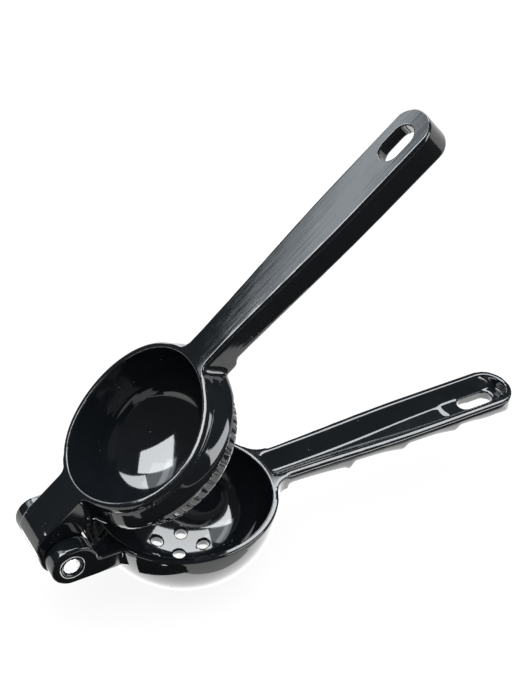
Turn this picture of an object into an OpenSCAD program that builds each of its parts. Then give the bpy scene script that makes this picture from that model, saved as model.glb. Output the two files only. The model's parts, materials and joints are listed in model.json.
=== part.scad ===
// Hinged lemon squeezer: two cast arms and a pin.
// Millimetres. +Z is up along the bowl's axis, +X runs along the lower handle away from the
// hinge, Y is the pin's direction. The origin is the centre of the bowl's flat underside.
// The arms are drawn as they stand half open; the upper arm's own shape is built shut and
// then turned up about the pin.

/* [Hinge] */
// angle between the two arms as drawn
open_angle = 39.4; // [0:0.1:150]
// distance from the pin's axis to the bowl's axis
reach = 52.2; // [45:0.1:60]
// pin diameter
pin_d = 7.2; // [5:0.1:9]
// radial running clearance of the pin in the knuckle
pin_gap = 0.06; // [0.02:0.01:0.1]
// radius of the ears
ear_r = 8; // [7:0.1:9]
// radius of the knuckle
knuckle_r = 9.2; // [8:0.1:9.5]
// how far the far ear is drawn out behind the pin
far_back = 1; // [0:0.1:2]
// distance from the arms' middle plane to the near ear's outer face
near_y = 16; // [13:0.2:18]
// distance from the arms' middle plane to the far ear's outer face
far_y = 17.2; // [13:0.2:18]
// how far the pin's ends sit below the ears' outer faces
pin_sink = 0.7; // [0.2:0.1:1.5]
// width of the knuckle between the ears
knuckle_w = 16.7; // [12:0.1:20]
// side gap between the knuckle and each ear
side_gap = 0.25; // [0.1:0.05:0.5]
// thickness of the flat plate that carries the ears
plate_t = 8; // [6:0.5:10]
// distance from the pin's axis to the plate's free edge
plate_x = 10.7; // [10:0.1:14]
// radius of the fillets between the plate and the bowl
plate_fillet = 2; // [0.5:0.1:3]

/* [Bowl] */
// outer radius of the bowl at its rim
bowl_r = 36; // [30:0.5:40]
// thickness of the bowl's wall at its rim
bowl_wall = 2.7; // [1.5:0.1:4]
// height of the bowl from its flat underside to its rim
bowl_h = 32.7; // [28:0.1:38]
// thickness of the bowl's floor
bowl_floor = 2.7; // [1.5:0.1:5]
// radius of the flat underside
foot_r = 9.5; // [6:0.5:14]
// diameter of each strainer hole
drain_d = 4.7; // [3:0.1:6]
// distance from the middle strainer hole to each of the six round it
drain_pitch = 10.4; // [8:0.1:12]
// how far the middle strainer hole sits from the bowl's axis towards the hinge
drain_shift = 2.7; // [0:0.1:4]

/* [Lower handle] */
// distance from the pin's axis to the end of the handle
lower_len = 200.2; // [180:0.1:215]
// half width of the handle at its end
lower_w = 11.7; // [9:0.1:14]
// half width of the handle next to the bowl
lower_w0 = 9.5; // [7:0.1:12]
// depth of the handle next to the bowl
lower_h = 7.1; // [6:0.1:9]
// how far each finger ridge stands out below
ridge_h = 1.5; // [0:0.1:3]
// distance from the first finger ridge to the end of the handle
ridge_in = 80.7; // [76:0.1:84]
// distance from one finger ridge to the next
ridge_pitch = 24.5; // [20:0.5:28]
// thickness of the channel's side walls at the top
lower_wall = 3.3; // [2:0.1:4]
// depth of the channel
channel_h = 5; // [3:0.1:5.5]
// how far the underside bellies out below its rounded edges
belly = 1.2; // [0:0.1:2]
// radius of the fillets where the handle leaves the bowl
junction_r = 8; // [4:0.5:12]
// depth of those fillets
junction_h = 6.6; // [4:0.1:7]
// half width of the hang slot
lower_slot_r = 3.5; // [3:0.1:5]
// length of the hang slot between the centres of its round ends
lower_slot_len = 9; // [4:0.1:14]
// distance from the slot's outer end centre to the end of the handle
lower_slot_in = 10.8; // [9:0.1:14]
// height of the raised land round the hang slot
land_h = 0.5; // [0.4:0.1:1.5]
// width of that land
land_w = 3.7; // [2:0.1:5]

/* [Press cup] */
// thickness of the cup's wall at its lip
cup_wall = 1.8; // [1.2:0.1:3]
// how far the cup's lip is set in from the bowl's outer radius
cup_in = 4.2; // [2:0.1:5]
// how far the cup's axis lies beyond the bowl's, seen from the hinge
cup_shift = 0.5; // [0:0.1:0.8]
// height of the upright edge of the cup's skirt, which lies flush with the bowl's rim
skirt_h = 3.3; // [2:0.1:6]
// height of the upper arm's top above the pin's axis, with the arms shut
top_h = 13.3; // [11:0.1:16]
// radius of the fillets where the handle and the tongue leave the cup
cup_fillet = 3; // [1:0.5:5]
// radius of the crown across the upper arm's top
crown_r = 142; // [80:1:400]
// radial clearance of the plain collar in the bowl
press_gap = 1.1; // [0.8:0.1:2]
// height of the plain collar
collar_h = 3.2; // [1:0.1:5]
// how far the ribs' outer faces are set in from the collar
rib_in = 0.5; // [0.3:0.1:2]
// number of ribs round the dome
ribs = 50; // [30:1:60]
// how far the ribs stand proud of the dome at their upper end
groove = 1.7; // [0.5:0.1:2]
// length of the ribs
rib_len = 6.4; // [3:0.1:10]
// how far the dome reaches below the bowl's rim, with the arms shut
dome_h = 22.5; // [18:0.5:26]
// wall of the dome at its bottom
dome_wall = 2.8; // [2:0.1:4]

/* [Upper handle] */
// distance from the pin's axis to the end of the handle
upper_len = 202.7; // [180:0.1:215]
// half width of the handle at its end
upper_w = 9.4; // [7:0.1:12]
// half width of the handle next to the cup
upper_w0 = 6.9; // [5:0.1:9]
// thickness of the handle's top web
web = 3; // [2:0.1:5]
// thickness of the handle's side walls
upper_wall = 2.6; // [2:0.1:4]
// thickness of the web round the hang slot
slot_web = 6; // [3:0.1:9]
// how far the opening in the far side wall reaches past each end of the hang slot
relief_over = 5; // [2:0.1:7]
// radius of that opening's corners
relief_r = 3; // [1:0.1:4]
// half width of the hang slot
upper_slot_r = 4.5; // [3:0.1:5]
// length of the hang slot between the centres of its round ends
upper_slot_len = 6.7; // [4:0.1:14]
// distance from the slot's outer end centre to the end of the handle
upper_slot_in = 11; // [9:0.1:14]

/* [Quality] */
// facets on a full circle
fine = 96; // [48:8:160]

/* [Hidden] */
$fn = fine;
pin_r = pin_d / 2;
pin_len = near_y + far_y - 2 * pin_sink;
ear_in = knuckle_w / 2 + side_gap;
bowl_ri = bowl_r - bowl_wall;
bowl_depth = bowl_h - bowl_floor;
// where the plate and the ears run out inside the bowl's wall
plate_end = reach - sqrt(bowl_ri * bowl_ri - far_y * far_y);
cup_x = reach + cup_shift;
skirt_r = bowl_r;
cup_ro = bowl_r - cup_in;
cup_ri = cup_ro - cup_wall;
collar_r = bowl_ri - press_gap;
rib_r = collar_r - rib_in;
lower_slot = lower_len - lower_slot_in;
ridge_x = lower_len - ridge_in;
// where both handles leave the round of the bowl and the cup
root_x = reach + bowl_r;
upper_slot = upper_len - upper_slot_in;
// gap left between the shut arms
shut_gap = 0.3;
coat = [0.075, 0.085, 0.095];
steel = [0.86, 0.87, 0.88];

// quarter of a rounded square of unit size, n = 2 is a circle
function se(t, n) = pow(1 - pow(min(1, max(0, t)), n), 1 / n);
// 0 below t = 0, 1 above t = 1 and a smooth step between
function smooth(t) = let (k = min(1, max(0, t))) k * k * (3 - 2 * k);

// from the hinge's frame (origin on the pin's axis, z = 0 at the bowl's rim) to the part's
module hinge_frame() translate([-reach, 0, bowl_h]) children();

// a closed skin through equal rings of points, each ring a list of [x, y, z]
module skin(rings) {
    m = len(rings);
    n = len(rings[0]);
    polyhedron(
        points = [for (r = rings) for (p = r) p],
        faces = concat(
            [[for (j = [n - 1:-1:0]) j]],
            [for (i = [0:m - 2]) for (j = [0:n - 1])
                let (a = i * n + j, b = i * n + (j + 1) % n) each [[a, b + n, a + n], [a, b, b + n]]],
            [[for (j = [0:n - 1]) (m - 1) * n + j]]),
        convexity = 6);
}

// one cross-section of a handle, half a list then its mirror image: [y, z] pairs in, ring out
function mirrored(x, half) = [
    for (p = half) [x, p[0], p[1]],
    for (i = [len(half) - 1:-1:0]) if (abs(half[i][0]) > 0.001) [x, -half[i][0], half[i][1]]
];

// ---- lower arm, in the hinge's frame ----

// half width of the handle, seen from above
function lower_half(x) = lower_w0 + (lower_w - lower_w0) * smooth((x - root_x + 4) / 70);

// depth of the underside: it deepens to each ridge, then steps back to the next finger groove
last_ridge = ridge_x + 2 * ridge_pitch;
groove_up = 1.1;
function finger(x) =
    let (k = (x - ridge_x) / ridge_pitch)
    let (p = k - min(2, floor(k)))
    let (past = 1 - smooth(p * ridge_pitch / 3))
    let (back = groove_up * smooth((x - ridge_x) / 3))
    let (rise = ridge_h + groove_up)
    x < ridge_x - ridge_pitch ? lower_h :
    x < ridge_x ? lower_h + ridge_h * pow(p, 2.1) :
    x < last_ridge ? lower_h - back + rise * max(pow(p, 2.1), past) :
    lower_h - groove_up + rise * past + 1.8 * smooth((x - last_ridge - 2) / 14);

tip_r = 7;
function tip_up(x) =
    let (u = max(0, x - lower_len + tip_r))
    tip_r - sqrt(max(0, tip_r * tip_r - u * u));

// least depth of the handle, at its very end
least_d = 2.6;
function lower_ring(x) =
    let (w = lower_half(x), d = max(least_d, finger(x) - tip_up(x)), r = min(5, d - 1.9), e = 1.5)
    let (below = min(belly, (d - least_d) / 2))
    mirrored(x, concat(
        [[0, 0], [w - e, 0], [w - 0.44, -0.44], [w, -e]],
        [for (a = [0:15:90]) [w - r + r * cos(a), -(d - r) - r * sin(a)]],
        [[(w - r) / 2, -d - below * 0.75], [0, -d - below]]));

ring_steps = [0, 0.8, 1.6, 2.6, 5, 8.5, 12, 15.5, 18.5, 21, 23];
tip_x = lower_len - tip_r;
lower_x = concat([root_x - 10, root_x - 4, root_x + 2],
    [for (k = [-1:2]) for (d = ring_steps)
        let (x = ridge_x + k * ridge_pitch + d)
        if (x > root_x + 3 && x < tip_x - 4) x],
    [tip_x - 3],
    [for (a = [0:15:90]) tip_x + tip_r * sin(a)]);

module lower_plan() {
    r = lower_w;
    c = lower_len - r;
    x0 = root_x - 18;
    xs = [for (i = [0:10]) x0 + (c - x0) * i / 11];
    polygon(concat(
        [for (x = xs) [x, lower_half(x) + 0.05]],
        [for (a = [90:-5:-90]) [c + r * pow(cos(a), 0.92), (r + 0.05) * sin(a)]],
        [for (i = [10:-1:0]) [xs[i], -lower_half(xs[i]) - 0.05]]));
}

// concave corner between the round of a bowl, centred on the origin, and the side of a bar
// of half width w that leaves it along X, ahead of it or, with at = -1, behind it
module corner_plan(at, side, w, r, round_r) {
    cy = w + r;
    cx = sqrt(pow(round_r + r, 2) - cy * cy);
    k = round_r / (round_r + r);
    difference() {
        polygon([
            [at * round_r / 2, 0], [at * cx * k, side * cy * k], [at * cx, side * cy], [at * cx, 0]]);
        translate([at * cx, side * cy]) circle(r = r, $fn = 72);
    }
}

// half width of the open-topped hollow, and its plan
function channel_half(x) = lower_half(x) - lower_wall + 0.4 * (1 - smooth((x - root_x - 2) / 30));
channel_x0 = root_x + 0.2;
channel_x1 = lower_len - 2.3;
channel_x = [for (i = [0:10]) round(channel_x0 - 4 + (channel_x1 + 8 - channel_x0) * i / 10)];

// the hollow's walls lean in to a floor that is narrow next to the bowl and as wide as the slot at its end
lean_run = 75;
narrow_floor = 0.9;
wall_foot = 4.6;
corner_share = 0.08;
function channel_ring(x) =
    let (w = channel_half(x))
    let (h = channel_h - 0.4 * (1 - smooth((x - root_x - 2) / 60)))
    let (lean = 1 - smooth((x - root_x - 10) / lean_run))
    let (f = (w - wall_foot) * (1 - lean) + narrow_floor * lean)
    let (a = [f + corner_share * (w - f), -h + corner_share * h], c = [f / 2, -h])
    mirrored(x, concat([[0, 2], [w + 0.1, 2], [w, -0.2]],
        [for (t = [0:0.2:1]) a * pow(1 - t, 2) + [f, -h] * 2 * t * (1 - t) + c * t * t],
        [[0, -h]]));

module channel_plan() {
    r = lower_w - lower_wall;
    c = channel_x1 - r;
    k = 1.8;
    w0 = channel_half(channel_x0);
    xs = [for (i = [1:4]) channel_x0 + 12 + (c - channel_x0 - 12) * (i - 1) / 4];
    polygon(concat(
        [for (a = [180:-15:90]) [channel_x0 + k + k * cos(a), w0 - k + k * sin(a)]],
        [for (x = xs) [x, channel_half(x) + 0.2]],
        [for (a = [90:-6:-90]) [c + (r + 0.2) * cos(a), (r + 0.2) * sin(a)]],
        [for (i = [3:-1:0]) [xs[i], -channel_half(xs[i]) - 0.2]],
        [for (a = [-90:-15:-180]) [channel_x0 + k + k * cos(a), -w0 + k + k * sin(a)]]));
}

module oblong(x0, x1, r) {
    translate([x0, 0]) circle(r = r, $fn = 64);
    translate([x1, 0]) circle(r = r, $fn = 64);
    translate([x0, -r]) square([x1 - x0, 2 * r]);
}

// profile of the bowl's outside and inside, as revolved
bowl_b = bowl_h + 0.9;
module bowl_outer() {
    translate([reach, 0, 0]) rotate_extrude()
        polygon(concat(
            [[0, 0], [bowl_r - 0.8, 0], [bowl_r - 0.23, -0.23], [bowl_r, -0.8]],
            [for (i = [1:24]) let (z = bowl_b * sin(90 * i / 24)) if (z > 1 && z < bowl_h - 0.05)
                [bowl_r * se(z / bowl_b, 2.15), -z]],
            [[foot_r, -bowl_h], [0, -bowl_h]]));
}
module bowl_inner() {
    translate([reach, 0, 0]) rotate_extrude()
        polygon(concat(
            [[0, 1], [bowl_ri + 0.6, 1], [bowl_ri + 0.6, 0], [bowl_ri + 0.18, -0.18], [bowl_ri, -0.6]],
            [for (i = [1:26]) let (z = bowl_depth * sin(90 * i / 26)) if (z > 1.2)
                [bowl_ri * se(z / bowl_depth, 2.1), -z]],
            [[0, -bowl_depth]]));
}

// each ear is drawn out towards the bowl by this much
ear_run = 2.4;
module ear(side) {
    t = (side > 0 ? far_y : near_y) - ear_in;
    back = side > 0 ? far_back : 0;
    translate([0, side > 0 ? far_y : -ear_in, 0]) rotate([90, 0, 0]) {
        translate([-back, 0, 0]) cylinder(r = ear_r, h = t);
        translate([ear_run, 0, 0]) cylinder(r = ear_r, h = t);
        linear_extrude(t)
            polygon([
                [-back, -ear_r], [-back, ear_r], [ear_run, ear_r],
                [ear_run, 0], [plate_end, 0], [plate_end, -ear_r]]);
    }
}

module lower_arm() color(coat) hinge_frame() difference() {
    union() {
        bowl_outer();
        ear(1);
        ear(-1);
        translate([plate_x, -near_y, -plate_t]) cube([plate_end - plate_x, near_y + far_y, plate_t]);
        intersection() {
            skin([for (x = lower_x) lower_ring(x)]);
            translate([0, 0, -20]) linear_extrude(30) lower_plan();
        }
        translate([reach, 0, -junction_h]) linear_extrude(junction_h) {
            corner_plan(1, 1, lower_w0, junction_r, bowl_r);
            corner_plan(1, -1, lower_w0, junction_r, bowl_r);
        }
        translate([reach, 0, -plate_t]) linear_extrude(plate_t) {
            corner_plan(-1, 1, far_y, plate_fillet, bowl_r);
            corner_plan(-1, -1, near_y, plate_fillet, bowl_r);
        }
    }
    bowl_inner();
    // hollow of the handle, with the land round the slot left standing
    difference() {
        intersection() {
            skin([for (x = channel_x) channel_ring(x)]);
            translate([0, 0, -20]) linear_extrude(30) channel_plan();
        }
        translate([0, 0, -channel_h - 1]) linear_extrude(1 + land_h)
            oblong(lower_slot - lower_slot_len - land_w, lower_slot, lower_slot_r + land_w + 0.2);
    }
    translate([0, 0, -20]) linear_extrude(30) oblong(lower_slot - lower_slot_len, lower_slot, lower_slot_r);
    // strainer holes: one in the middle and six round it
    for (k = [0:6]) translate([reach - drain_shift, 0, -bowl_h - 1]) rotate([0, 0, 60 * k])
        translate([k == 6 ? 0 : drain_pitch, 0, 0]) cylinder(d = drain_d, h = 14, $fn = 48);
    // bores for the pin, a press fit
    rotate([90, 0, 0]) translate([0, 0, -25]) cylinder(r = pin_r - 0.01, h = 50);
}

// ---- upper arm, built shut in the hinge's frame, then turned up ----

// half width of the handle, seen from above, and the height of its lower edge
function upper_half(x) = upper_w0 + (upper_w - upper_w0) * smooth((x - root_x + 3.2) / 80);
step_x = root_x + 4.4;
step_len = 2.8;
function upper_low(x) =
    shut_gap + 0.2 + 2.2 * smooth((x - step_x) / step_len) - 0.0165 * max(0, x - step_x - step_len);
// the whole top is slightly domed across its width
function crown(y) = top_h - (crown_r - sqrt(crown_r * crown_r - y * y));

function upper_ring(x) =
    let (w = upper_half(x), b = upper_low(x), e = 1.2)
    mirrored(x, [
        [0, top_h], [w * 0.5, crown(w * 0.5)], [w - e, crown(w - e)],
        [w - 0.35, crown(w) - 0.32], [w, crown(w) - e],
        [w, b + 1.1], [w - 0.32, b + 0.32], [w - 1.1, b], [0, b]]);
upper_x = concat([root_x - 10],
    [for (i = [0:4]) step_x + step_len * i / 4],
    [for (i = [1:11]) step_x + step_len + 7 * i],
    [upper_len]);

module upper_plan() {
    r = upper_w;
    c = upper_len - r;
    x0 = root_x - 18;
    xs = [for (i = [0:12]) x0 + (c - x0) * i / 13];
    polygon(concat(
        [for (x = xs) [x, upper_half(x) + 0.05]],
        [for (a = [90:-5:-90]) [c + r * pow(cos(a), 0.92), (r + 0.05) * sin(a)]],
        [for (i = [12:-1:0]) [xs[i], -upper_half(xs[i]) - 0.05]]));
}

// hollow under the handle, as seen from above
module upper_hollow(x1, rounded) {
    r = upper_w - upper_wall;
    x0 = root_x + 2.8;
    xs = [for (i = [0:8]) x0 + (x1 - x0) * i / 8];
    polygon(concat(
        [for (x = xs) [x, upper_half(x) - upper_wall]],
        rounded ? [for (a = [80:-10:-80]) [x1 + r * cos(a), r * sin(a)]] : [],
        [for (i = [8:-1:0]) [xs[i], -upper_half(xs[i]) + upper_wall]]));
}

// the cup's outside above the ribs: a wall that flares to a skirt, then the plain collar
module cup_shell() {
    translate([cup_x, 0, 0]) rotate_extrude()
        polygon([
            [0, -collar_h], [collar_r - 0.6, -collar_h], [collar_r, -collar_h + 0.6], [collar_r, shut_gap],
            [skirt_r - 0.8, shut_gap], [skirt_r - 0.2, shut_gap + 0.25], [skirt_r, shut_gap + 0.8],
            [skirt_r, skirt_h], [skirt_r - 0.25, skirt_h + 0.5],
            [cup_ro + 1.2, (top_h + skirt_h) / 2 + 1], [cup_ro, top_h],
            [cup_ro - 0.15, top_h + 1], [0, top_h + 1]]);
}

// dome, plain at radius rib_r - groove, with upright ribs that end in rounded tips
module dome() {
    rc = rib_r - groove;
    tip = 2.4;
    z0 = collar_h + rib_len - tip;
    n = 8;
    translate([cup_x, 0, 0]) {
        rotate_extrude()
            polygon(concat([[0, 0], [rc, 0]],
                [for (i = [1:20]) let (z = dome_h * sin(90 * i / 20)) [rc * se(z / dome_h, 2.4), -z]]));
        intersection() {
            rotate_extrude()
                polygon(concat([[rc - 5, -1], [rib_r, -1], [rib_r, -collar_h]],
                    [for (a = [0:15:90]) [rib_r - 0.4 - tip + tip * cos(a), -z0 - tip * sin(a)]],
                    [[rc - 5, -z0 - tip]]));
            translate([0, 0, -20]) linear_extrude(20)
                polygon([for (k = [0:ribs * n - 1])
                    let (a = 360 * k / (ribs * n), u = abs((k % n) / n - 0.5) * 2)
                    let (cut = (groove + 0.3) * (1 - sqrt(max(0, 1 - pow(u, 2.6)))))
                    (rib_r + 0.02 - cut) * [cos(a), sin(a)]]);
        }
    }
}

module cup_inner() {
    zi = dome_h - dome_wall;
    r0 = cup_ri - 1.2;
    translate([cup_x, 0, 0]) rotate_extrude()
        polygon(concat([[0, top_h + 2], [cup_ri, top_h + 2], [cup_ri, 5]],
            [for (i = [0:22]) let (z = zi * sin(90 * i / 22)) [r0 * se(z / zi, 2.3), -z]]));
}

// tongue with the knuckle: its top runs over a soft nose down to the knuckle
module tongue() {
    nose_r = 14;
    nose_x = 3;
    nose_end = 120;
    lip_r = 2;
    knuckle_back = 14;
    inside_cup = reach - cup_ri + 4;
    cx = nose_x + (nose_r - lip_r) * cos(nose_end);
    cz = top_h - nose_r + (nose_r - lip_r) * sin(nose_end);
    translate([0, knuckle_w / 2, 0]) rotate([90, 0, 0]) {
        cylinder(r = knuckle_r, h = knuckle_w);
        linear_extrude(knuckle_w) polygon(concat(
            [[0, 0], [-knuckle_r * cos(knuckle_back), knuckle_r * sin(knuckle_back)]],
            [for (a = [170:-10:nose_end]) [cx + lip_r * cos(a), cz + lip_r * sin(a)]],
            [for (a = [nose_end - 6:-6:90]) [nose_x + nose_r * cos(a), top_h - nose_r + nose_r * sin(a)]],
            [[inside_cup, top_h], [inside_cup, shut_gap + 0.4], [knuckle_r - 0.1, shut_gap + 0.4]]));
    }
}

// all that lies above the crowned top
module crown_cut() {
    n = 32;
    y1 = 40;
    translate([-60, 0, 0]) rotate([90, 0, 90]) linear_extrude(200)
        polygon(concat(
            [for (i = [-n:n]) let (y = y1 * i / n) [y, crown(y)]],
            [[y1, top_h + 9], [-y1, top_h + 9]]));
}

// opening in the far side wall below the slot's web, through which the slot stays clear
module slot_relief() {
    x0 = upper_slot - upper_slot_len - relief_over - upper_slot_r;
    x1 = upper_slot + relief_over;
    z1 = top_h - slot_web;
    translate([0, upper_w + 3, 0]) rotate([90, 0, 0]) linear_extrude(upper_w + 3) hull() {
        translate([x0, -8]) square([x1 - x0, 1]);
        translate([x0 + relief_r, z1 - relief_r]) circle(r = relief_r, $fn = 48);
        translate([x1 - relief_r, z1 - relief_r]) circle(r = relief_r, $fn = 48);
    }
}

// the web is thicker round the slot, from this far behind it
slot_pad = 13;
module upper_shut() difference() {
    union() {
        // everything whose top is cut by the crown
        difference() {
            union() {
                cup_shell();
                for (side = [-1, 1]) translate([cup_x, 0, shut_gap]) {
                    linear_extrude(skirt_h) corner_plan(-1, side, knuckle_w / 2, cup_fillet, skirt_r);
                    linear_extrude(top_h) corner_plan(-1, side, knuckle_w / 2, cup_fillet, cup_ro + 0.4);
                    linear_extrude(top_h) corner_plan(1, side, upper_w0, cup_fillet, cup_ro + 0.4);
                }
            }
            crown_cut();
        }
        dome();
        tongue();
        difference() {
            intersection() {
                skin([for (x = upper_x) upper_ring(x)]);
                translate([0, 0, -5]) linear_extrude(30) upper_plan();
            }
            translate([0, 0, -5]) linear_extrude(top_h - web + 5)
                upper_hollow(upper_slot - upper_slot_len - slot_pad, false);
            translate([0, 0, -5]) linear_extrude(top_h - slot_web + 5)
                upper_hollow(upper_slot + 0.8, true);
        }
    }
    cup_inner();
    translate([0, 0, -5]) linear_extrude(30) oblong(upper_slot - upper_slot_len, upper_slot, upper_slot_r);
    slot_relief();
    // running bore for the pin
    rotate([90, 0, 0]) translate([0, 0, -25]) cylinder(r = pin_r + pin_gap, h = 50);
}

module upper_arm() color(coat) hinge_frame() rotate([0, -open_angle, 0]) upper_shut();

// ---- pin ----

module hinge_pin() color(steel) hinge_frame() translate([0, far_y - pin_sink, 0]) rotate([90, 0, 0])
    rotate_extrude() polygon([
        [0, 0], [pin_r - 0.4, 0], [pin_r, 0.4],
        [pin_r, pin_len - 0.4], [pin_r - 0.4, pin_len], [0, pin_len]]);

lower_arm();
upper_arm();
hinge_pin();
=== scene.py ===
"""Looks of the hinged lemon squeezer: two enamelled castings and a steel pin.

Places are in metres in the part's frame. Sizes of the castings are written in millimetres in
the hinge's frame: origin on the pin's axis, z = 0 at the bowl's rim, arms shut.
"""

import json
from math import cos, pi, radians, sin

import bmesh
import bpy
import numpy as np
from mathutils import Matrix, Vector


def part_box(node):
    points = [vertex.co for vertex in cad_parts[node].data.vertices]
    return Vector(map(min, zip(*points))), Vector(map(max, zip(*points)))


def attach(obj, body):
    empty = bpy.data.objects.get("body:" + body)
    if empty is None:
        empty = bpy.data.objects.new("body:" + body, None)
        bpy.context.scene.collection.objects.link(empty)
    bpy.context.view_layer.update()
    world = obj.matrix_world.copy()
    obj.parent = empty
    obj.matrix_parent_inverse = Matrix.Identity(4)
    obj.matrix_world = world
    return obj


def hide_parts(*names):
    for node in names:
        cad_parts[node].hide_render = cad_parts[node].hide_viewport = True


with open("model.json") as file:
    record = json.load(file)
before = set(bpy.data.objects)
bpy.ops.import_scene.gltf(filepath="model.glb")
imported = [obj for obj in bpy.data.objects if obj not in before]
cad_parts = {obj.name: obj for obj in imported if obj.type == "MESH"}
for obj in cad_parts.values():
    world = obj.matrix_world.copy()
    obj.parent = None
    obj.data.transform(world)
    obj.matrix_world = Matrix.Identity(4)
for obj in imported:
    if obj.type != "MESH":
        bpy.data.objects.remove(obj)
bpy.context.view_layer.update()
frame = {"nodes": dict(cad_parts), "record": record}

MM = 0.001
NODES = frame["nodes"]
JOINT = frame["record"]["behaviour"]["joints"][0]
HINGE = Vector(JOINT["pos_m"])
OPEN_ANGLE = -radians(JOINT["range_deg"][0])

# the bowl; its wall and its floor are equally thick
BOWL_WALL = 2.7
RIM_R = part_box("lower_arm")[1].y / MM
REACH = -HINGE.x / MM
BOWL_INNER_R = RIM_R - BOWL_WALL
BOWL_H = HINGE.z / MM
BOWL_DEPTH = BOWL_H - BOWL_WALL
OUTSIDE_SQUARENESS = 2.15
INSIDE_SQUARENESS = 2.1
PLATE_HALF = 19.5
HANDLE_ROOT_HALF = 17.5
RIM_OUTER_ROUND = 0.9
RIM_INNER_ROUND = 0.7
PLATE_ROOT_X = REACH - 15
HANDLE_ROOT_X = REACH + 24
HANDLE_ROOT_END_X = REACH + 52

# the lower handle's channel, from the rim outwards: half its width at the top, its depth, and the
# half width of its floor, which is narrow next to the bowl; each changes over a run
CHANNEL_START = 2.5
CHANNEL_HALF = 6.2
CHANNEL_WIDENS = 2.2
WIDENING_START, WIDENING_RUN = -4, 70
CHANNEL_MOUTH = 0.4
MOUTH_START, MOUTH_RUN = 2, 30
CHANNEL_DEPTH = 5
CHANNEL_SHALLOWER = 0.4
DEEPENING_RUN = 60
NARROW_FLOOR = 0.9
LEAN_START, LEAN_RUN = 10, 75
WALL_FOOT = 4.6
WALL_LAND = 0.2
FLOOR_ROUND = 0.3
CHANNEL_LAND_X = 168.5
CHANNEL_END_X = 184

# the press cup, its slightly domed top, and the dome below it
CUP_X = REACH + 0.5
CUP_TOP = 13.3
CROWN_R = 142
CROWN_START_X = 3
FLATTER = 0.7
DOME_R = BOWL_INNER_R - 3.3
DOME_H = 22.5
CUP_OUTER_R = RIM_R - 4.2
CUP_INNER_R = CUP_OUTER_R - 1.8
LIP_FLARE = 1.2
LIP_OUTER_ROUND = 0.8
LIP_INNER_ROUND = 0.6
WALL_TOP = CUP_TOP - 1.2
WALL_TOP_R = CUP_OUTER_R + 0.35
SKIRT_TOP = 2.2
SKIRT_FOOT = 1.1
STRAIGHT_SHARE = 0.35
RIBS_TOP = -2.8
KNUCKLE_X = 4
STEP_END_X = CUP_X + 48
FLATTENING_RUN = 16

# the hollow of the cup and the dome, and the sweep that joins its wall to its floor
HOLLOW_R = CUP_INNER_R - 1.2
HOLLOW_DEPTH = DOME_H - 2.8
HOLLOW_SQUARENESS = 2.2
SWEEP_BELOW = 3
SWEEP_ABOVE = 8

# grain of the fine mesh of each casting
LOWER_VOXEL = 0.45
UPPER_VOXEL = 0.4
# how far beside an edge's two faces, and how far from its round, its points are still moved
EDGE_MARGIN = 0.7
ROUND_CATCH = 0.55
# how hollow a corner is where easing starts, up to where it is full, and how it spreads from there
HOLLOW_START = 0.015
HOLLOW_RUN = 0.02
SPREAD_STEPS = 7
SPREAD = 1.35
POINTS_AT_ONCE = 4000


# ---- camera and stage ----

CAMERA_TURN = radians(-28.89)
CAMERA_RISE = radians(37.7)
CAMERA_ROLL = radians(0.8)
CAMERA_AWAY = 0.62653
CAMERA_AIM = Vector((0.04784, 0.02684, 0.06608))
CAMERA_LENS = 110.85

STUDIO_MIDDLE = Vector((0.02, 0, 0.05))
WHITE = (1, 1, 1)
COOL = (0.95, 0.98, 1.0)
BLUISH = (0.86, 0.94, 1.0)
# lamps seen in the shine alone: turn and rise in degrees, distance, size, brightness, colour
SHINE_LAMPS = {
    "back_softbox": (58, 57, 0.9, (0.9, 0.5), 7, COOL),
    "left_softbox": (144, 54, 0.9, (0.40, 0.62), 8.5, COOL),
    "left_panel": (116, 47, 0.95, (0.46, 0.34), 1.35, BLUISH),
    "left_panel_low": (118, 37.5, 0.96, (0.5, 0.16), 1.8, BLUISH),
    "right_softbox": (-48, 19.5, 0.9, (0.78, 0.33), 5, COOL),
    "back_strip": (82, 20, 0.9, (0.2, 0.5), 4, COOL),
}
OVERHEAD_LAMP = (20, 86, 1.6, (3.0, 3.0), 1.6, WHITE)
# fields of floor that glow in the shine alone: two corners, height, brightness
GLOWING_FIELDS = {
    "light_table": ((-0.06, -0.045), (0.19, 0.10), 0.0005, 1.7),
    "pin_light": ((-0.0449, -0.0472), (-0.0397, -0.0424), 0.002, 7),
}
# black cards on the floor: first and last turn in degrees, near radius at each, far radius
BLACK_CARDS = {
    "front_card": ((-150, -24), (0.085, 0.15), 2.0),
    "ear_card": ((-165, -130), (0.058, 0.062), 0.12),
}
CARD_HEIGHT = 0.001
CARD_BLACK = 0.02
FLOOR_HALF = 12.0
FLOOR_TONE = 0.2
FLOOR_GLOW = 0.9
ROOM_GLOW = 0.05


def added(name, data):
    """A new object in the scene's collection."""
    made = bpy.data.objects.new(name, data)
    bpy.context.scene.collection.objects.link(made)
    return made


def add_camera():
    """The camera looks at the aim point from the given turn and rise, rolled a little."""
    data = bpy.data.cameras.new("camera")
    data.sensor_fit = "HORIZONTAL"
    data.sensor_width = 36
    data.lens = CAMERA_LENS
    back = Vector((
        sin(CAMERA_TURN) * cos(CAMERA_RISE),
        -cos(CAMERA_TURN) * cos(CAMERA_RISE),
        sin(CAMERA_RISE)))
    level = back.to_track_quat("Z", "Y").to_matrix().to_4x4()
    roll = Matrix.Rotation(CAMERA_ROLL, 4, "Z")
    camera = added("camera", data)
    camera.matrix_world = Matrix.Translation(CAMERA_AIM + back * CAMERA_AWAY) @ level @ roll
    bpy.context.scene.camera = camera


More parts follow.
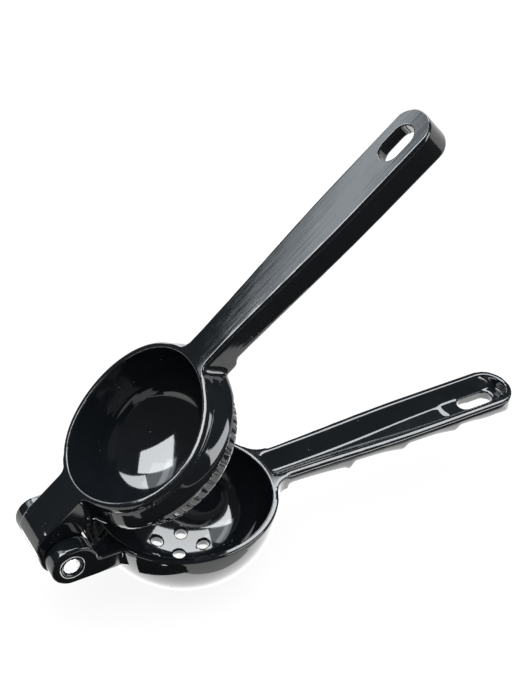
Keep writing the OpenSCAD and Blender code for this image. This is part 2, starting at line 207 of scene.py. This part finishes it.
def add_lamp(name, size, brightness, colour, place, in_shine=True):
    """A flat rectangular lamp, which shines along its own -Z with the wanted brightness.

    One that is in the shine is there for that alone, and any other gives plain light alone.
    """
    data = bpy.data.lights.new(name, "AREA")
    data.shape = "RECTANGLE"
    data.size, data.size_y = size
    data.energy = brightness * pi * size[0] * size[1]
    data.color = colour
    lamp = added(name, data)
    lamp.matrix_world = place
    lamp.visible_camera = False
    lamp.visible_glossy = in_shine
    lamp.visible_diffuse = not in_shine


def add_softbox(name, turn, rise, away, size, brightness, colour, in_shine=True):
    """A lamp that faces the middle of the set."""
    turn, rise = radians(turn), radians(rise)
    toward = Vector((cos(turn) * cos(rise), sin(turn) * cos(rise), sin(rise)))
    facing = toward.to_track_quat("Z", "Y").to_matrix().to_4x4()
    place = Matrix.Translation(STUDIO_MIDDLE + toward * away) @ facing
    add_lamp(name, size, brightness, colour, place, in_shine)


def add_glowing_field(name, corner, far_corner, height, brightness):
    """A lamp that lies on the floor and faces up."""
    corner, far_corner = Vector(corner), Vector(far_corner)
    middle = ((corner + far_corner) / 2).to_3d()
    middle.z = height
    place = Matrix.Translation(middle) @ Matrix.Rotation(pi, 4, "X")
    add_lamp(name, tuple(far_corner - corner), brightness, WHITE, place)


def card_black():
    """Flat black of the cards."""
    material = bpy.data.materials.new("card_black")
    material.use_nodes = True
    shader = material.node_tree.nodes["Principled BSDF"]
    shader.inputs["Base Color"].default_value = (CARD_BLACK, CARD_BLACK, CARD_BLACK, 1)
    shader.inputs["Roughness"].default_value = 1
    return material


def add_black_card(name, turns, nears, far, material):
    """A black card on the floor in front, seen in the shine alone, which keeps near sides dark."""
    steps = np.radians(np.linspace(turns[0], turns[1], 25))
    ring = [
        (STUDIO_MIDDLE.x + r * cos(a), r * sin(a), CARD_HEIGHT)
        for a, near in zip(steps, np.linspace(nears[0], nears[1], len(steps))) for r in (near, far)]
    faces = [(2 * i, 2 * i + 1, 2 * i + 3, 2 * i + 2) for i in range(len(steps) - 1)]
    mesh = bpy.data.meshes.new(name)
    mesh.from_pydata(ring, [], faces)
    mesh.materials.append(material)
    card = added(name, mesh)
    card.visible_camera = card.visible_diffuse = False
    card.visible_shadow = card.visible_transmission = False


def floor_white():
    """A pale floor that looks white to the camera and in the shine, and keeps a faint shadow."""
    material = bpy.data.materials.new("floor_white")
    material.use_nodes = True
    tree = material.node_tree
    tree.nodes.clear()
    diffuse = tree.nodes.new("ShaderNodeBsdfDiffuse")
    diffuse.inputs["Color"].default_value = (FLOOR_TONE, FLOOR_TONE, FLOOR_TONE, 1)
    glow = tree.nodes.new("ShaderNodeEmission")
    path = tree.nodes.new("ShaderNodeLightPath")
    seen = maths(tree, "MAXIMUM", path.outputs["Is Camera Ray"], path.outputs["Is Glossy Ray"])
    seen = maths(tree, "MAXIMUM", seen, path.outputs["Is Transmission Ray"])
    tree.links.new(maths(tree, "MULTIPLY", seen, FLOOR_GLOW), glow.inputs["Strength"])
    both = tree.nodes.new("ShaderNodeAddShader")
    tree.links.new(diffuse.outputs[0], both.inputs[0])
    tree.links.new(glow.outputs[0], both.inputs[1])
    out = tree.nodes.new("ShaderNodeOutputMaterial")
    tree.links.new(both.outputs[0], out.inputs["Surface"])
    return material


def add_floor():
    """A wide floor at the foot of the bowl."""
    corners = [(x * FLOOR_HALF, y * FLOOR_HALF, 0) for x, y in ((-1, -1), (1, -1), (1, 1), (-1, 1))]
    mesh = bpy.data.meshes.new("floor")
    mesh.from_pydata(corners, [], [(0, 1, 2, 3)])
    mesh.materials.append(floor_white())
    added("floor", mesh)


def add_room():
    """A faint even glow from all round."""
    world = bpy.data.worlds.new("studio")
    bpy.context.scene.world = world
    world.use_nodes = True
    background = world.node_tree.nodes["Background"]
    background.inputs["Color"].default_value = (1, 1, 1, 1)
    background.inputs["Strength"].default_value = ROOM_GLOW


# ---- true curves of the castings ----

def faded(value, run):
    """0 up to a value of 0, 1 from a value of run on, and straight between."""
    return np.clip(value / run, 0, 1)


def eased(value, run):
    """The same with soft ends."""
    t = faded(value, run)
    return t * t * (3 - 2 * t)


def profile(radius, depth, squareness, top):
    """Points (r, z) down a revolved hollow or bowl from z = -top to the middle of its floor.

    A squareness of 2 is an ellipse; above it the wall is more upright and the floor flatter.
    """
    z = depth * np.sin(np.linspace(0, pi / 2, 500))
    r = radius * (1 - faded(z, depth) ** squareness) ** (1 / squareness)
    keep = z > top
    return np.stack([r[keep], -z[keep]], 1)


def hollow_profile():
    """The inside of the cup: its upright wall runs in one sweep into the hollow of the dome."""
    low = profile(HOLLOW_R, HOLLOW_DEPTH, HOLLOW_SQUARENESS, SWEEP_BELOW)
    (r0, z0), (r1, z1) = low[0], low[1]
    t = np.linspace(1, 0, 120)[:-1]
    length = SWEEP_ABOVE - z0
    slope = (r1 - r0) / (z1 - z0) * length
    low_share = 2 * t ** 3 - 3 * t ** 2 + 1
    slope_share = t ** 3 - 2 * t ** 2 + t
    r = r0 * low_share + slope * slope_share + CUP_INNER_R * (1 - low_share)
    return np.concatenate([np.stack([r, z0 + length * t], 1), low])


def wall_profile():
    """The outside of the cup: the wall flares in one soft sweep to the upright skirt."""
    t = np.linspace(0, 1, 60)
    flare_z = WALL_TOP - (WALL_TOP - SKIRT_TOP) * t
    share = STRAIGHT_SHARE * t + (1 - STRAIGHT_SHARE) * eased(t, 1)
    flare_r = WALL_TOP_R + (RIM_R - WALL_TOP_R) * share
    z = np.linspace(WALL_TOP, SKIRT_FOOT, 200)
    return np.stack([np.interp(z, flare_z[::-1], flare_r[::-1]), z], 1)


def crown_height(x, y):
    """Height of the slightly domed top, which flattens out along the handle."""
    radius = CROWN_R / (1 - FLATTER * eased(x - CUP_X - CUP_OUTER_R, FLATTENING_RUN))
    return CUP_TOP - (radius - np.sqrt(radius ** 2 - y ** 2))


def onto_profile(co, axis_x, curve, near=0.14, far=0.3, share=None):
    """Moves the points that lie close to a revolved profile exactly onto it.

    Points up to near from the curve move all the way and points beyond far stay.
    """
    share = np.ones(len(co)) if share is None else share
    dx, dy = co[:, 0] - axis_x, co[:, 1]
    r = np.hypot(dx, dy)
    inside = (
        (r < curve[:, 0].max() + far) & (co[:, 2] < curve[:, 1].max() + 0.01)
        & (co[:, 2] > curve[:, 1].min() - far) & (share > 0))
    index = np.nonzero(inside)[0]
    tangent = np.gradient(curve, axis=0)
    step = np.hypot(tangent[:, 0], tangent[:, 1])
    tangent /= step[:, None]
    for part in np.array_split(index, max(1, len(index) // POINTS_AT_ONCE)):
        p = np.stack([r[part], co[part, 2]], 1)
        gap = ((p[:, None, :] - curve[None]) ** 2).sum(2)
        nearest = gap.argmin(1)
        # the foot of the point on the curve lies a little along it from the nearest sample
        along = ((p - curve[nearest]) * tangent[nearest]).sum(1)
        along = np.clip(along, -step[nearest], step[nearest])
        best = curve[nearest] + tangent[nearest] * along[:, None]
        distance = np.hypot(*(p - best).T)
        weight = faded(far - distance, far - near) * share[part]
        moved = p + (best - p) * weight[:, None]
        factor = moved[:, 0] / np.maximum(p[:, 0], 1e-6)
        co[part, 0] = axis_x + dx[part] * factor
        co[part, 1] = dy[part] * factor
        co[part, 2] = moved[:, 1]


def onto_crown(co, near=0.3, far=0.55):
    """Moves the points close to the upper arm's slightly domed top exactly onto it."""
    gap = crown_height(co[:, 0], co[:, 1]) - co[:, 2]
    weight = faded(far - np.abs(gap), far - near)
    weight[co[:, 0] < CROWN_START_X] = 0
    co[:, 2] += gap * weight


def onto_channel(co, near=0.35, far=0.6):
    """Moves the points close to the channel's leaning walls and floor onto them.

    A narrow round lies between each wall and the floor.
    """
    x, y, z = co.T
    out = x - REACH - RIM_R
    half = (
        CHANNEL_HALF + CHANNEL_WIDENS * eased(out - WIDENING_START, WIDENING_RUN)
        + CHANNEL_MOUTH * (1 - eased(out - MOUTH_START, MOUTH_RUN)))
    depth = CHANNEL_DEPTH - CHANNEL_SHALLOWER * (1 - eased(out - MOUTH_START, DEEPENING_RUN))
    lean = 1 - eased(out - LEAN_START, LEAN_RUN)
    floor_half = (half - WALL_FOOT) * (1 - lean) + NARROW_FLOOR * lean
    over = np.abs(y) - floor_half
    up_wall = (over + np.sqrt(over ** 2 + FLOOR_ROUND ** 2)) / 2
    rise = (depth - WALL_LAND) / (half - floor_half) * up_wall
    gap = rise - depth - z
    weight = faded(far - np.abs(gap), far - near) * faded(out - CHANNEL_START, 1.5)
    # it keeps clear of the top edges, and the walls go on past the end of the floor
    weight *= faded(half - 0.3 - np.abs(y), 0.5)
    on_wall = rise > 1.2
    weight *= np.where(on_wall, faded(CHANNEL_END_X - x, 4), faded(CHANNEL_LAND_X - x, 1.5))
    co[:, 2] += gap * weight


# ---- rounded edges of the castings ----

def round_edge(co, under_top, under_side, axis_x, outward, radius, weight):
    """Gives an even round edge to the points close below a top face and close behind a side.

    under_top and under_side are the points' depths behind the two faces. outward is 1 where the
    side faces away from the upright axis at axis_x, and -1 where it faces that axis.
    """
    a, b = np.maximum(radius - under_top, 0), np.maximum(radius - under_side, 0)
    reach = np.hypot(a, b)
    near = (np.abs(reach - radius) < ROUND_CATCH) & (reach > 0.25 * radius) & (weight > 0)
    scale = np.where(near, radius / np.maximum(reach, 1e-6) - 1, 0) * weight
    dx, dy = co[:, 0] - axis_x, co[:, 1].copy()
    r = np.maximum(np.hypot(dx, dy), 1e-6)
    sideways = b * scale * outward
    co[:, 2] += a * scale
    co[:, 0] += dx / r * sideways
    co[:, 1] += dy / r * sideways


def round_rim(co):
    """The bowl's rim, apart from where the plate and the handle leave it."""
    x, y, z = co.T
    r = np.hypot(x - REACH, y)
    band = (z > -2.2) & (z < 0.5) & (r > BOWL_INNER_R - EDGE_MARGIN) & (r < RIM_R + EDGE_MARGIN)
    outer_half = r >= (RIM_R + BOWL_INNER_R) / 2
    clear = faded(np.abs(y) - np.where(x < REACH, PLATE_HALF, HANDLE_ROOT_HALF), 1)
    round_edge(co, -z, RIM_R - r, REACH, 1, RIM_OUTER_ROUND, clear * (band & outer_half))
    round_edge(co, -z, r - BOWL_INNER_R, REACH, -1, RIM_INNER_ROUND, band & ~outer_half)


def round_lip(co):
    """The cup's lip, which follows the crown.

    Its outer edge stops short of the tongue and the handle.
    """
    x, y, z = co.T
    r = np.hypot(x - CUP_X, y)
    outer = CUP_OUTER_R + LIP_FLARE * faded(CUP_TOP - z, 4)
    under = crown_height(x, y) - z
    band = (
        (under > -0.6) & (under < 3) & (r > CUP_INNER_R - EDGE_MARGIN) & (r < outer + EDGE_MARGIN))
    outer_half = r >= (outer + CUP_INNER_R) / 2
    clear = faded(np.abs(y) - 13, 2)
    round_edge(co, under, outer - r, CUP_X, 1, LIP_OUTER_ROUND, clear * (band & outer_half))
    round_edge(co, under, r - CUP_INNER_R, CUP_X, -1, LIP_INNER_ROUND, band & ~outer_half)


def neighbour_mean(edges, points):
    """A function that gives each point the mean of a value over the points it has edges to."""
    a, b = edges[:, 0], edges[:, 1]
    count = np.maximum(np.bincount(a, minlength=points) + np.bincount(b, minlength=points), 1)

    def around(values):
        return (np.bincount(a, values[b], points) + np.bincount(b, values[a], points)) / count

    return around


def soften(co, around, rounds, weight=1.0):
    """Moves each point halfway to the mean of its neighbours, which rounds the edges."""
    for _ in range(rounds):
        mean = np.stack([around(co[:, k]) for k in range(3)], 1)
        co += (mean - co) * (0.5 * np.reshape(weight, (-1, 1)))


def ease_corners(co, around, normals, region, rounds):
    """Rounds the inward corners of a region, as fillets do, and leaves its outward edges."""
    hollow = sum((around(co[:, k]) - co[:, k]) * normals[:, k] for k in range(3))
    weight = faded(hollow - HOLLOW_START, HOLLOW_RUN) * region
    for _ in range(SPREAD_STEPS):
        weight = np.maximum(weight, np.minimum(1, SPREAD * around(weight))) * region
    soften(co, around, rounds, weight)


# ---- the castings ----

def shape_lower(co, around, normals):
    """The bowl, the plate with its ears and the channel handle."""
    soften(co, around, rounds=3)
    x, y, z = co.T
    beside_bowl = (np.hypot(x - REACH, y) > BOWL_INNER_R + 0.4) & (z < -0.6)
    roots = beside_bowl & ((x < PLATE_ROOT_X) | (x > HANDLE_ROOT_X)) & (x < HANDLE_ROOT_END_X)
    ease_corners(co, around, normals, roots, rounds=40)
    soften(co, around, rounds=3)
    onto_channel(co)
    onto_profile(co, REACH, profile(RIM_R, BOWL_H + 0.9, OUTSIDE_SQUARENESS, 2))
    onto_profile(co, REACH, profile(BOWL_INNER_R, BOWL_DEPTH, INSIDE_SQUARENESS, 2.4))
    round_rim(co)
    co[:, 2] = np.maximum(co[:, 2], -BOWL_H)


def shape_upper(co, around, normals):
    """The cup with its ribbed dome, the tongue with its knuckle and the handle."""
    x, y, z = co.T
    from_axis = np.hypot(x - CUP_X, y)
    ribbed = (z < RIBS_TOP) & (from_axis > DOME_R - 2)
    soften(co, around, rounds=5, weight=np.where(ribbed, 0.3, 1.0))
    beside_cup = (from_axis > HOLLOW_R + 2) & (z > 0.5) & (np.abs(y) > 5.5)
    roots = beside_cup & (x > KNUCKLE_X) & (x < STEP_END_X)
    ease_corners(co, around, normals, roots, rounds=50)
    # the wall keeps clear of the tongue, the handle and the lip
    clear = faded(np.abs(y) - 11.5, 3.5) * faded(crown_height(x, y) - z - 0.9, 1)
    onto_profile(co, CUP_X, wall_profile(), near=1.0, far=1.5, share=clear)
    onto_crown(co)
    onto_profile(co, CUP_X, hollow_profile(), near=0.9, far=1.4)
    round_lip(co)


def values_of(items, attribute, width, kind=float):
    """One attribute of a mesh's points or edges as an array of rows."""
    values = np.empty(len(items) * width, kind)
    items.foreach_get(attribute, values)
    return values.reshape(-1, width)


def casting(name, node, body, shut, voxel, shape):
    """A soft-edged copy of a CAD arm: remeshed, eased along its edges, put onto its true curves.

    shut turns the arm from where it is drawn to where it is when the squeezer is shut.
    """
    to_shut = Matrix.Scale(1 / MM, 4) @ shut @ Matrix.Translation(-HINGE)
    mesh = NODES[node].data.copy()
    mesh.transform(to_shut)
    welded = bmesh.new()
    welded.from_mesh(mesh)
    bmesh.ops.remove_doubles(welded, verts=welded.verts, dist=0.001)
    welded.to_mesh(mesh)
    welded.free()
    piece = added(name, mesh)
    remesh = piece.modifiers.new("even", "REMESH")
    remesh.mode = "VOXEL"
    remesh.voxel_size = voxel
    evaluated = piece.evaluated_get(bpy.context.evaluated_depsgraph_get())
    fine = bpy.data.meshes.new_from_object(evaluated)
    piece.modifiers.clear()
    co = values_of(fine.vertices, "co", 3)
    normals = values_of(fine.vertices, "normal", 3)
    edges = values_of(fine.edges, "vertices", 2, np.int64)
    shape(co, neighbour_mean(edges, len(co)), normals)
    fine.vertices.foreach_set("co", co.ravel())
    fine.transform(to_shut.inverted())
    fine.materials.clear()
    fine.polygons.foreach_set("use_smooth", [True] * len(fine.polygons))
    piece.data = fine
    fine.name = name
    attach(piece, body)
    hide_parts(node)
    return piece


# ---- finishes ----

ENAMEL_COLOUR = (0.0115, 0.0150, 0.0190, 1)
ENAMEL_CLOUD = (0.02, 0.024, 0.028, 1)
ENAMEL_SPECK = (0.2, 0.21, 0.22, 1)
ENAMEL_IOR = 1.75
ENAMEL_BUMP = 0.00002
STREAK_HEIGHT = 2.2
STEEL_BRIGHT = (0.86, 0.87, 0.88, 1)
STEEL_DULL = (0.72, 0.725, 0.73, 1)
STEEL_BUMP = 0.000008


def shader_group(name, inputs, outputs):
    """An empty node group with its sockets, and its two end nodes."""
    group = bpy.data.node_groups.new(name, "ShaderNodeTree")
    for socket, kind, value in inputs:
        made = group.interface.new_socket(socket, in_out="INPUT", socket_type=kind)
        if value is not None:
            made.default_value = value
    for socket, kind in outputs:
        group.interface.new_socket(socket, in_out="OUTPUT", socket_type=kind)
    return group, group.nodes.new("NodeGroupInput"), group.nodes.new("NodeGroupOutput")


def set_or_link(tree, socket, value):
    """Gives a socket a number or colour, or the output of another node."""
    if isinstance(value, (int, float, tuple)):
        socket.default_value = value
    else:
        tree.links.new(value, socket)


def noise(tree, place, scale, detail=2.0, roughness=0.5):
    node = tree.nodes.new("ShaderNodeTexNoise")
    node.inputs["Scale"].default_value = scale
    node.inputs["Detail"].default_value = detail
    node.inputs["Roughness"].default_value = roughness
    tree.links.new(place, node.inputs["Vector"])
    return node.outputs["Fac"]


def maths(tree, operation, *values, clamp=False):
    node = tree.nodes.new("ShaderNodeMath")
    node.operation = operation
    node.use_clamp = clamp
    for socket, value in zip(node.inputs, values):
        set_or_link(tree, socket, value)
    return node.outputs[0]


def times(tree, value, factor):
    return maths(tree, "MULTIPLY", value, factor)


def ramp(tree, value, low, high, to_low=0.0, to_high=1.0):
    """Goes from to_low to to_high while the value goes from low to high."""
    node = tree.nodes.new("ShaderNodeMapRange")
    for socket, number in zip(node.inputs[1:5], (low, high, to_low, to_high)):
        socket.default_value = number
    tree.links.new(value, node.inputs[0])
    return node.outputs[0]


def mixed(tree, share, first, second):
    """A colour between two others."""
    node = tree.nodes.new("ShaderNodeMix")
    node.data_type = "RGBA"
    share_socket, first_socket, second_socket = node.inputs[0], node.inputs[6], node.inputs[7]
    for socket, value in ((share_socket, share), (first_socket, first), (second_socket, second)):
        set_or_link(tree, socket, value)
    return node.outputs[2]


def bumped(tree, shader, height, strength, distance):
    """Lets a height show as fine relief."""
    bump = tree.nodes.new("ShaderNodeBump")
    bump.inputs["Strength"].default_value = strength
    bump.inputs["Distance"].default_value = distance
    tree.links.new(height, bump.inputs["Height"])
    tree.links.new(bump.outputs[0], shader.inputs["Normal"])


def enamel_skin_group():
    """Fired enamel: long soft waves, fine peel, a cloudy tone and a few specks of dust."""
    group, start, end = shader_group(
        "enamel_skin",
        [
            ("Place", "NodeSocketVector", None),
            ("Colour", "NodeSocketColor", (0.01, 0.01, 0.01, 1)),
            ("Speck Colour", "NodeSocketColor", (0.1, 0.1, 0.1, 1)),
            ("Specks", "NodeSocketFloat", 1.0),
        ],
        [
            ("Colour", "NodeSocketColor"),
            ("Roughness", "NodeSocketFloat"),
            ("Height", "NodeSocketFloat"),
        ])
    place = start.outputs["Place"]
    waves = noise(group, place, scale=55, detail=1.0)
    peel = noise(group, place, scale=700)
    clouds = noise(group, place, scale=120, detail=4.0, roughness=0.6)
    dust = noise(group, place, scale=900, detail=0.0)
    dusty_patch = noise(group, place, scale=60, detail=1.0)
    speck = times(group, ramp(group, dust, 0.79, 0.83), ramp(group, dusty_patch, 0.58, 0.7))
    speck = maths(group, "MULTIPLY", speck, start.outputs["Specks"], clamp=True)

    cloudy = ramp(group, clouds, 0.35, 0.7, to_high=0.35)
    shade = mixed(group, cloudy, start.outputs["Colour"], ENAMEL_CLOUD)
    colour = mixed(group, speck, shade, start.outputs["Speck Colour"])
    group.links.new(colour, end.inputs["Colour"])

    wiped = ramp(group, clouds, 0.3, 0.7, to_low=0.045, to_high=0.085)
    roughness = maths(group, "ADD", wiped, times(group, speck, 0.3))
    group.links.new(roughness, end.inputs["Roughness"])

    height = maths(group, "ADD", times(group, waves, 6.0), times(group, peel, 0.1))
    height = maths(group, "ADD", height, times(group, speck, 0.6))
    group.links.new(height, end.inputs["Height"])
    return group


def handle_streaks(tree, place):
    """Height of the fine lengthwise dressing lines that show through the upper handle's enamel."""
    along_arm = tree.nodes.new("ShaderNodeMapping")
    along_arm.vector_type = "TEXTURE"
    along_arm.inputs["Location"].default_value = HINGE
    along_arm.inputs["Rotation"].default_value = (0, -OPEN_ANGLE, 0)
    tree.links.new(place, along_arm.inputs["Vector"])
    stretched = tree.nodes.new("ShaderNodeMapping")
    stretched.inputs["Scale"].default_value = (0.035, 1, 0.2)
    tree.links.new(along_arm.outputs[0], stretched.inputs["Vector"])
    parts = tree.nodes.new("ShaderNodeSeparateXYZ")
    tree.links.new(along_arm.outputs[0], parts.inputs[0])
    fine = noise(tree, stretched.outputs[0], scale=1300, detail=3.0, roughness=0.65)
    broad = noise(tree, stretched.outputs[0], scale=420, detail=1.0)
    lines = maths(tree, "ADD", times(tree, fine, 0.5), broad)
    handle_x = (REACH + RIM_R) * MM
    on_handle = ramp(tree, parts.outputs["X"], handle_x - 6 * MM, handle_x + 4 * MM)
    return times(tree, times(tree, lines, STREAK_HEIGHT), on_handle)


def enamel(name, skin_group, streaked):
    """Glossy near-black enamel."""
    material = bpy.data.materials.new(name)
    material.use_nodes = True
    tree = material.node_tree
    shader = tree.nodes["Principled BSDF"]
    shader.inputs["IOR"].default_value = ENAMEL_IOR
    place = tree.nodes.new("ShaderNodeTexCoord").outputs["Object"]
    skin = tree.nodes.new("ShaderNodeGroup")
    skin.node_tree = skin_group
    skin.label = "skin"
    tree.links.new(place, skin.inputs["Place"])
    skin.inputs["Colour"].default_value = ENAMEL_COLOUR
    skin.inputs["Speck Colour"].default_value = ENAMEL_SPECK
    skin.inputs["Specks"].default_value = 1.0
    tree.links.new(skin.outputs["Colour"], shader.inputs["Base Color"])
    tree.links.new(skin.outputs["Roughness"], shader.inputs["Roughness"])
    height = skin.outputs["Height"]
    if streaked:
        height = maths(tree, "ADD", height, handle_streaks(tree, place))
    bumped(tree, shader, height, strength=1, distance=ENAMEL_BUMP)
    return material


def turned_steel(name):
    """Bright steel of the pin, with the fine rings that its end was turned with."""
    material = bpy.data.materials.new(name)
    material.use_nodes = True
    tree = material.node_tree
    shader = tree.nodes["Principled BSDF"]
    shader.inputs["Metallic"].default_value = 1
    place = tree.nodes.new("ShaderNodeTexCoord").outputs["Object"]
    parts = tree.nodes.new("ShaderNodeSeparateXYZ")
    tree.links.new(place, parts.inputs[0])
    x = maths(tree, "SUBTRACT", parts.outputs["X"], HINGE.x)
    z = maths(tree, "SUBTRACT", parts.outputs["Z"], HINGE.z)
    radius = maths(tree, "SQRT", maths(tree, "ADD", times(tree, x, x), times(tree, z, z)))
    ringed = tree.nodes.new("ShaderNodeCombineXYZ")
    tree.links.new(radius, ringed.inputs["X"])
    tree.links.new(times(tree, parts.outputs["Y"], 0.6), ringed.inputs["Y"])
    rings = noise(tree, ringed.outputs[0], scale=9000)
    handled = noise(tree, place, scale=600, detail=3.0, roughness=0.6)
    colour = mixed(tree, ramp(tree, handled, 0.35, 0.7), STEEL_BRIGHT, STEEL_DULL)
    tree.links.new(colour, shader.inputs["Base Color"])
    worn = ramp(tree, handled, 0.3, 0.7, to_low=0.16, to_high=0.28)
    tree.links.new(worn, shader.inputs["Roughness"])
    bumped(tree, shader, rings, strength=0.3, distance=STEEL_BUMP)
    return material


# ---- the scene ----

def add_studio():
    add_camera()
    add_floor()
    add_room()
    for name, lamp in SHINE_LAMPS.items():
        add_softbox(name, *lamp)
    add_softbox("overhead_softbox", *OVERHEAD_LAMP, in_shine=False)
    for name, field in GLOWING_FIELDS.items():
        add_glowing_field(name, *field)
    black = card_black()
    for name, card in BLACK_CARDS.items():
        add_black_card(name, *card, black)
    bpy.context.scene.view_settings.view_transform = "Standard"


def add_squeezer():
    as_drawn = Matrix.Identity(4)
    closing = Matrix.Rotation(OPEN_ANGLE, 4, "Y")
    lower = casting("lower_casting", "lower_arm", "lower", as_drawn, LOWER_VOXEL, shape_lower)
    upper = casting("upper_casting", "upper_arm", "upper", closing, UPPER_VOXEL, shape_upper)
    skin_group = enamel_skin_group()
    lower.data.materials.append(enamel("lower_enamel", skin_group, streaked=False))
    upper.data.materials.append(enamel("upper_enamel", skin_group, streaked=True))
    steel = turned_steel("pin_steel")
    for spot in NODES["hinge_pin"].material_slots:
        spot.material = steel


add_studio()
add_squeezer()
